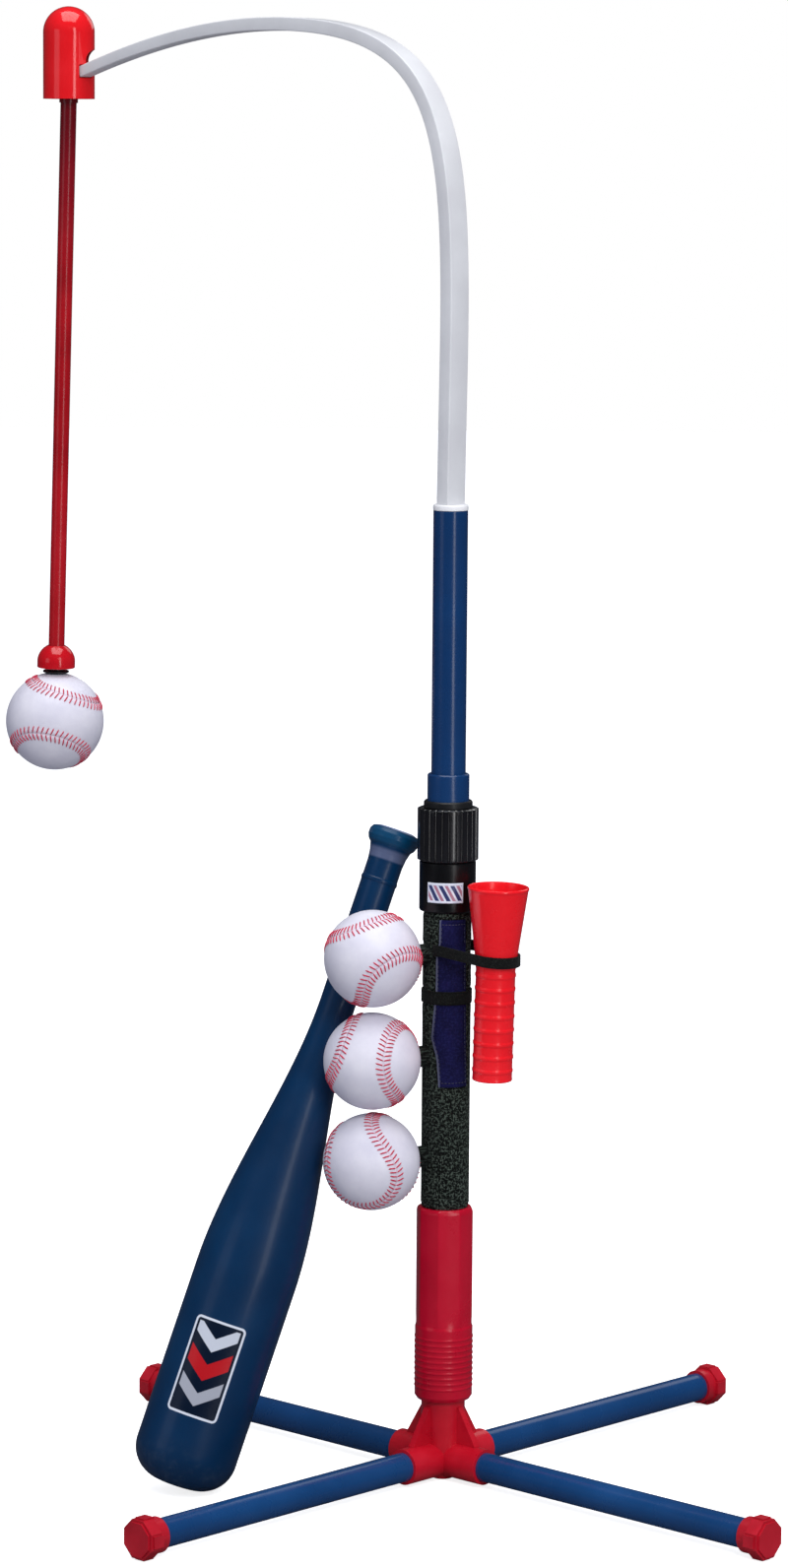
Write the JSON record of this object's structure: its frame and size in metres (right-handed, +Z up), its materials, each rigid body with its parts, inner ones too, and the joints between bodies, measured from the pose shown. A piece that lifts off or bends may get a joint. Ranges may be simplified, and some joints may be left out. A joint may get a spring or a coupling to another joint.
{
  "type": "youth batting tee with swing arm",
  "caption": "Free-standing youth batting tee: cross base, telescoping post with twist collar, curved swivelling arm with a hanging ball, tee cup, stored balls and bat.",
  "frame": {"origin": "on the floor under the post axis, on the flat underside of the hub", "axes": "+Z up along the post; the curved arm reaches towards -X over one leg, the tee cup stands on the +X side, and the legs lie along the X and Y axes"},
  "size_m": [0.7942, 0.642, 1.1115],
  "materials": {
    "hub_red": "moulded, light gloss",
    "sleeve_red": "moulded, light gloss",
    "cap_red": "moulded, soft rubbery",
    "tube_blue": "satin blue paint",
    "collar_black": "moulded, glossy",
    "fabric_black": "heathered knit",
    "fabric_navy": "smooth woven",
    "elastic_black": "ribbed elastic webbing",
    "hook_pad": "hook and loop pile",
    "label_white": "printed label, plain panels",
    "white_plastic": "moulded",
    "arm_grey": "satin pultruded bar",
    "hood_red": "moulded, high gloss",
    "steel": "zinc plated",
    "black_plastic": "moulded",
    "rod_red": "extruded tube, gloss",
    "ball_cover": "smooth synthetic leather, red stitches",
    "cup_red": "moulded, soft gloss",
    "bat_navy": "blow moulded, satin gloss"
  },
  "bodies": {
    "base": {"base_hub": "hub_red", "leg_tube_front_left": "tube_blue", "leg_tube_front_right": "tube_blue", "leg_tube_back_left": "tube_blue", "leg_tube_back_right": "tube_blue", "leg_cap_front_left": "cap_red", "leg_cap_front_right": "cap_red", "leg_cap_back_left": "cap_red", "leg_cap_back_right": "cap_red", "base_sleeve": "sleeve_red", "post_tube": "tube_blue", "post_cover": "fabric_black", "cover_pocket": "fabric_navy", "cup_strap": "elastic_black", "lower_strap": "elastic_black", "ball_pad_1": "hook_pad", "ball_pad_2": "hook_pad", "ball_pad_3": "hook_pad", "collar_body": "collar_black", "collar_label": "label_white", "clamp_collet": "tube_blue"},
    "collar": {"twist_collar": "collar_black", "collar_ring": "collar_black"},
    "upper": {"upper_tube": "tube_blue", "tube_guide": "black_plastic"},
    "arm": {"arm_foot": "white_plastic", "arm_bushing": "white_plastic", "arm_bar": "arm_grey", "hood": "hood_red", "arm_pin": "steel", "hood_pin": "steel"},
    "swivel": {"swivel_block": "black_plastic"},
    "rod": {"rod_pin": "steel", "tether_rod": "rod_red", "rod_stopper": "rod_red", "ball_washer": "black_plastic"},
    "swing_ball": {"tether_ball": "ball_cover"},
    "cup": {"tee_cup": "cup_red"},
    "stored_ball_1": {"ball_1": "ball_cover"},
    "stored_ball_2": {"ball_2": "ball_cover"},
    "stored_ball_3": {"ball_3": "ball_cover"},
    "bat": {"bat_shell": "bat_navy", "bat_plug": "black_plastic"}
  },
  "joints": [
    {"name": "height_slide", "type": "slide", "parent": "base", "child": "upper", "axis": [0, 0, 1], "range_m": [-0.12, 0.15]},
    {"name": "collar_twist", "type": "hinge", "parent": "base", "child": "collar", "pos_m": [0, 0, 0.494], "axis": [0, 0, 1], "range_deg": [-75, 75]},
    {"name": "arm_swivel", "type": "hinge", "parent": "upper", "child": "arm", "pos_m": [0, 0, 0.72], "axis": [0, 0, 1], "continuous": true},
    {"name": "rod_swing_fore", "type": "hinge", "parent": "arm", "child": "swivel", "pos_m": [-0.416, 0, 1.048], "axis": [0, 1, 0], "range_deg": [-32, 28]},
    {"name": "rod_swing_side", "type": "hinge", "parent": "swivel", "child": "rod", "pos_m": [-0.41586, 0, 1.052], "axis": [0.9994, 0, -0.0349], "range_deg": [-30, 30]},
    {"name": "ball_spin", "type": "hinge", "parent": "rod", "child": "swing_ball", "pos_m": [-0.43368, 0, 0.54181], "axis": [0.0349, 0, 0.9994], "continuous": true},
    {"name": "cup_lift", "type": "slide", "parent": "base", "child": "cup", "axis": [0.0314, 0, 0.9995], "range_m": [0, 0.15]},
    {"name": "ball_1_off", "type": "slide", "parent": "base", "child": "stored_ball_1", "axis": [0.4278, -0.9039, 0], "range_m": [0, 0.12]},
    {"name": "ball_2_off", "type": "slide", "parent": "base", "child": "stored_ball_2", "axis": [0.4278, -0.9039, 0], "range_m": [0, 0.12]},
    {"name": "ball_3_off", "type": "slide", "parent": "base", "child": "stored_ball_3", "axis": [0.4278, -0.9039, 0], "range_m": [0, 0.12]},
    {"name": "bat_off", "type": "slide", "parent": "base", "child": "bat", "axis": [-0.6823, -0.6322, 0.3671], "range_m": [0, 0.2]}
  ]
}
